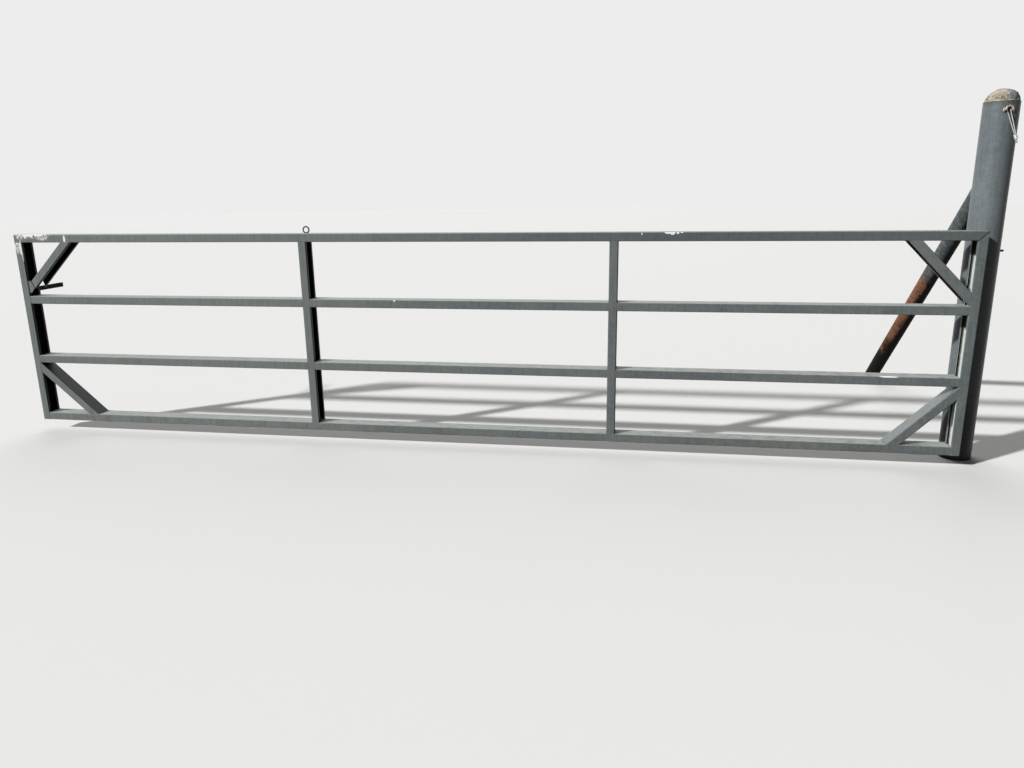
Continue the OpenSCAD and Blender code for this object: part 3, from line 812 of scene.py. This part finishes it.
def brace_ends(name, side, rise, on_stile=True):
    """side is the way from the stile to the leaf's middle, and rise the way from stile end to rail end."""
    low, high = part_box(name)
    stile_x = LEAF_START + WIDTH if side > 0 else LEAF_END - WIDTH
    rail_z = high.z if rise > 0 else low.z
    reach = abs((high.x if side > 0 else low.x) - stile_x)
    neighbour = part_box("upper_rail_left")[1].z if rise > 0 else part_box("lower_rail_left")[0].z
    corner_z = neighbour + rise * BRACE_GAP
    slope = math.atan2(abs(rail_z - corner_z), reach)
    half_on_rail = WIDTH / math.sin(slope) / 2
    half_on_stile = WIDTH / math.cos(slope) / 2
    on_rail = Vector((stile_x + side * (reach - half_on_rail), MIDDLE, rail_z))
    ends = channel_end(on_rail, Vector((-rise * side * half_on_rail, 0, 0)), split=rise > 0)
    if on_stile:
        centre = Vector((stile_x, MIDDLE, corner_z + rise * half_on_stile))
        ends += channel_end(centre, Vector((0, 0, half_on_stile)), split=True)
    return ends


def plate(centre, half_a, half_b):
    """The closed path round a small plate or bar."""
    corners = [
        centre + half_a + half_b, centre - half_a + half_b,
        centre - half_a - half_b, centre + half_a - half_b]
    return soften(corners, closed=True, corner=SMALL_CORNER)


print("a lower brace's ends have", len(brace_ends("lower_hinge_brace", -1, -1)), "runs")

# %% Welds of the leaf
SHORT_OF_FRONT = 0.9
RING_FOOT_LONG = Vector((9 * MM, 0, 0))
RING_FOOT_DEEP = Vector((0, 4.5 * MM, 0))

runs = []
for name in nodes:
    if name.endswith(("rail_left", "rail_middle", "rail_right")) or name == "bottom_rail":
        runs += rail_ends(name)
    if name.startswith("inner_stile"):
        runs += stile_ends(name)
runs += brace_ends("upper_free_brace", 1, 1, on_stile=False)
runs += brace_ends("lower_free_brace", 1, -1)
runs += brace_ends("upper_hinge_brace", -1, 1)
runs += brace_ends("lower_hinge_brace", -1, -1)

# A mitre is welded over its corner and down its back. Its front is ground flush.
for outer_x, side in ((LEAF_START, 1), (LEAF_END, -1)):
    inward = Vector((side, 0, -1))
    outer = Vector((outer_x, MIDDLE, LEAF_TOP)) + inward * SUNK
    inner = Vector((outer_x, MIDDLE, LEAF_TOP)) + inward * WIDTH
    runs.append(soften([outer - TO_BACK * SHORT_OF_FRONT, outer + TO_BACK, inner + TO_BACK]))
for name, side in (("free_stile_cap", 1), ("hinge_stile_cap", -1)):
    low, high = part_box(name)
    centre = Vector(((low.x + high.x) / 2, MIDDLE, high.z))
    outward = Vector((-side * (WIDTH / 2 - SUNK), 0, 0))
    runs.append(soften([
        centre - outward - TO_BACK, centre + outward - TO_BACK,
        centre + outward + TO_BACK, centre - outward + TO_BACK]))
filler_low, filler_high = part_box("brace_filler")
for y in (filler_low.y, filler_high.y):
    runs.append([Vector((filler_low.x, y, filler_low.z)), Vector((filler_low.x, y, filler_high.z))])

loops = []
for name, width in (("upper_strap", PAD_WIDTH), ("lower_strap", PAD_WIDTH), ("stop_bar", None)):
    low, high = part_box(name)
    half = Vector(((width or high.x - low.x) / 2, 0, 0))
    centre = Vector((low.x + half.x, LEAF_BACK, (low.z + high.z) / 2))
    loops.append(plate(centre, half, Vector((0, 0, (high.z - low.z) / 2))))
low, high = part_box("rail_ring")
loops.append(plate(Vector(((low.x + high.x) / 2, MIDDLE, LEAF_TOP)), RING_FOOT_LONG, RING_FOOT_DEEP))
beads = [lay_bead(run) for run in runs] + [lay_bead(loop, closed=True) for loop in loops]
join_beads("leaf_welds", beads, weld_enamel, "leaf")

# %% [markdown]
# ## Guides on the post
# On a round post a seam is a curve in space. A foot of the eye is a small circle pressed against a
# cylinder, and the propping pipe meets the post in a saddle: from each point round the pipe a line runs
# along its axis until it hits the post, and a quadratic gives that distance.

# %% Welds of the post
def onto_post(x, z):
    """The point of the post's front at that x and height, turned with the eye."""
    return Matrix.Rotation(EYE_TURN, 3, "Z") @ Vector((x, -math.sqrt(POST_R ** 2 - x ** 2), z))


def ring_on_post(x, z, radius, steps=16):
    """A small circle pressed against the post's front."""
    angles = [2 * math.pi * step / steps for step in range(steps)]
    return [onto_post(x + radius * math.cos(angle), z + radius * math.sin(angle)) for angle in angles]


def saddle(steps=72):
    """The seam of the propping pipe round the post."""
    down = Matrix.Rotation(PROP_TURN, 3, "Z") @ Vector((0, PROP_REACH, -PROP_TOP)).normalized()
    side = down.cross(Vector((0, 0, 1))).normalized()
    over = side.cross(down)
    square = down.x ** 2 + down.y ** 2
    path = []
    for step in range(steps):
        angle = 2 * math.pi * step / steps
        start = Vector((0, 0, PROP_TOP)) + (side * math.cos(angle) + over * math.sin(angle)) * PROP_R
        # The way t down the line solves square * t**2 + 2 * half_linear * t + constant = 0.
        half_linear = start.x * down.x + start.y * down.y
        constant = start.x ** 2 + start.y ** 2 - POST_R ** 2
        path.append(start + down * (-half_linear + math.sqrt(half_linear ** 2 - square * constant)) / square)
    return path


def socket_seam(name):
    """Up one side of a socket's web and down the other, on the post."""
    low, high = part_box(name)
    middle = math.atan2(HINGE_Y, HINGE_X)
    half_turn = SOCKET_HALF / POST_R
    path = []
    for turn, height in ((1, low.z), (1, high.z), (-1, high.z), (-1, low.z)):
        angle = middle + turn * half_turn
        path.append(Vector((POST_R * math.cos(angle), POST_R * math.sin(angle), height)))
    return path


rod_low, rod_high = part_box("side_rod")
rod_foot = ring_on_post(0, (rod_low.z + rod_high.z) / 2, ROD_R)
to_side = Matrix.Rotation(math.pi / 2 - EYE_TURN, 3, "Z")
loops = [ring_on_post(x, EYE_Z, EYE_ROD_R) for x in (-EYE_HALF, EYE_HALF)]
loops += [saddle(), socket_seam("upper_socket"), socket_seam("lower_socket")]
loops.append([to_side @ point for point in rod_foot])
beads = [lay_bead(loop, closed=True) for loop in loops]
join_beads("post_welds", beads, post_enamel, "post")

# %% [markdown]
# ## The splice in the top rail
# Near the free end a run of weld crosses the top rail, where two lengths of channel were joined. It was
# ground and never painted well, and shows as a pale stroke. It is one more run, in the colour of bare primer.

# %% Splice weld
SPLICE_X = LEAF_START + 375 * MM

pale_primer, tree, shader, place = start_material("pale_primer")
worn = (cloud(tree, place, 14), 0.35, 0.6)
tree.links.new(coat(tree, "#a9aeac", "#e3e5e0", worn), shader.inputs["Base Color"])
shader.inputs["Roughness"].default_value = 0.6
to_web = UP * (1 - 2 * SUNK / WIDTH)
splice = channel_end(Vector((SPLICE_X, MIDDLE, LEAF_TOP - WIDTH / 2)), to_web, split=False)
beads = [lay_bead(run) for run in splice]
join_beads("splice_weld", beads, pale_primer, "leaf")

# %% [markdown]
# ## The mound of concrete
# The fill is cast in the pipe and heaped over its rim by hand. It starts as a cylinder. Its top face is
# extruded and scaled ring by ring along a flattened dome, as in edit mode. The hand that heaped it left one
# shoulder low and the other full, so those are pushed with proportional editing. Displace modifiers then
# press lumps and grit into it.

# %% Concrete fill and mound
RIM_BARE = 3 * MM
DOME_STEPS = 14
SHORT_OF_TIP = 0.4
DOME_FULLNESS = 0.82
MOUND_HEIGHT = MOUND_TOP - POST_TOP

bpy.ops.object.select_all(action="DESELECT")
bpy.ops.mesh.primitive_cylinder_add(
    vertices=128, radius=FILL_R, depth=POST_TOP, location=(0, 0, POST_TOP / 2))
fill = bpy.context.object
fill.name = "concrete_fill"
bpy.ops.object.transform_apply(location=True, rotation=True, scale=True)
bpy.ops.object.mode_set(mode="EDIT")
bpy.ops.mesh.select_mode(type="FACE")
bpy.ops.mesh.select_all(action="DESELECT")
bpy.ops.object.mode_set(mode="OBJECT")
for face in fill.data.polygons:
    face.select = face.normal.z > 0.9
bpy.ops.object.mode_set(mode="EDIT")
radius, height = FILL_R, POST_TOP
for step in range(DOME_STEPS + 1):
    angle = math.pi / 2 * step / (DOME_STEPS + SHORT_OF_TIP)
    next_radius = (POST_R - RIM_BARE) * math.cos(angle) ** DOME_FULLNESS
    next_height = POST_TOP + MOUND_HEIGHT * math.sin(angle) ** DOME_FULLNESS
    narrower = next_radius / radius
    bpy.ops.mesh.extrude_region_move(TRANSFORM_OT_translate={"value": (0, 0, next_height - height)})
    bpy.ops.transform.resize(value=(narrower, narrower, 1), center_override=(0, 0, next_height))
    radius, height = next_radius, next_height
bpy.ops.mesh.poke()
bpy.ops.object.mode_set(mode="OBJECT")
print("the plain dome rises to", round(max(v.co.z for v in fill.data.vertices), 4))

# %% Low and full shoulders
LEFT = Vector((-0.93, 0.366, 0))
PRESSED = Vector((0, 0, -6 * MM))
LOW_SHOULDER = LEFT * 62 * MM + Vector((0, 0, POST_TOP + 46 * MM))
LOW_PUSH, LOW_REACH = PRESSED - LEFT * 3 * MM, 46 * MM
FULL_SHOULDER = -LEFT * 82 * MM + Vector((0, 0, POST_TOP + 24 * MM))
FULL_PUSH, FULL_REACH = PRESSED + LEFT * 1 * MM, 40 * MM

for spot, push, reach in ((LOW_SHOULDER, LOW_PUSH, LOW_REACH), (FULL_SHOULDER, FULL_PUSH, FULL_REACH)):
    bpy.ops.object.mode_set(mode="EDIT")
    bpy.ops.mesh.select_mode(type="VERT")
    bpy.ops.mesh.select_all(action="DESELECT")
    bpy.ops.object.mode_set(mode="OBJECT")
    nearest = min(fill.data.vertices, key=lambda v: (v.co - spot).length)
    nearest.select = True
    bpy.ops.object.mode_set(mode="EDIT")
    bpy.ops.transform.translate(
        value=push, use_proportional_edit=True, proportional_edit_falloff="SMOOTH", proportional_size=reach)
    bpy.ops.object.mode_set(mode="OBJECT")
    print("pushed the shoulder at", [round(c, 3) for c in nearest.co])

# %% Lumps and grit
# Each kind of lump has its size across, and how deep it is pressed.
LUMPS = {"heaps": (42 * MM, 12 * MM), "lumps": (15 * MM, 6 * MM), "grit": (5 * MM, 2 * MM)}

mound = fill.vertex_groups.new(name="mound")
mound.add([v.index for v in fill.data.vertices if v.co.z > POST_TOP + 1 * MM], 1.0, "REPLACE")
finer = fill.modifiers.new("finer", "SUBSURF")
finer.subdivision_type = "CATMULL_CLARK"
finer.levels = 2
finer.render_levels = 2
bpy.ops.object.modifier_apply(modifier="finer")
for lump, (size, depth) in LUMPS.items():
    pattern = bpy.data.textures.new(lump, "CLOUDS")
    pattern.noise_scale = size
    press = fill.modifiers.new(lump, "DISPLACE")
    press.texture = pattern
    press.texture_coords = "LOCAL"
    press.vertex_group = "mound"
    press.mid_level = 0.7
    press.strength = depth
    bpy.ops.object.modifier_apply(modifier=lump)
bpy.ops.object.shade_smooth()
fill.data.materials.clear()
fill.data.materials.append(old_concrete)
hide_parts("post_fill")
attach(fill, "post")
mound_top = max(v.co.z for v in fill.data.vertices)
print("mound rises to", round(mound_top, 4), "in", len(fill.data.polygons), "faces")

# %% [markdown]
# ## The knot of the fence wires
# Where the two wires meet they are bound with a few tight turns. A small circle is swept by a Screw
# modifier into a coil, and the coil is laid along the lean of the wires.

# %% Knot
COIL_R = 7.9 * MM
COIL_TURNS = 4
COIL_PITCH = 5.3 * MM

bpy.ops.object.select_all(action="DESELECT")
bpy.ops.mesh.primitive_circle_add(
    vertices=10, radius=WIRE_R, location=(COIL_R, 0, 0), rotation=(math.pi / 2, 0, 0))
knot = bpy.context.object
knot.name = "stay_knot"
bpy.ops.object.transform_apply(location=True, rotation=True, scale=True)
coil = knot.modifiers.new("coil", "SCREW")
coil.angle = 2 * math.pi * COIL_TURNS
coil.screw_offset = COIL_PITCH * COIL_TURNS
coil.steps = 20 * COIL_TURNS
coil.render_steps = 20 * COIL_TURNS
coil.use_merge_vertices = False
bpy.ops.object.modifier_apply(modifier="coil")
bpy.ops.object.mode_set(mode="EDIT")
bpy.ops.mesh.select_all(action="SELECT")
bpy.ops.mesh.fill_holes(sides=12)
bpy.ops.mesh.normals_make_consistent(inside=False)
bpy.ops.object.mode_set(mode="OBJECT")
lean = math.atan2(KNOT_SIDE, KNOT_DROP)
lay = (
    Matrix.Rotation(EYE_TURN, 4, "Z")
    @ Matrix.Translation((KNOT_SIDE, EYE_Y, EYE_Z - KNOT_DROP))
    @ Matrix.Rotation(math.pi - lean, 4, "Y"))
knot.data.transform(lay)
bpy.ops.object.shade_smooth()
knot.data.materials.append(zinc_wire)
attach(knot, "post")
print("knot of", COIL_TURNS, "turns")

# %% [markdown]
# ## Finish
# Standard view keeps each colour as it was written.

# %% View
bpy.context.scene.view_settings.view_transform = "Standard"
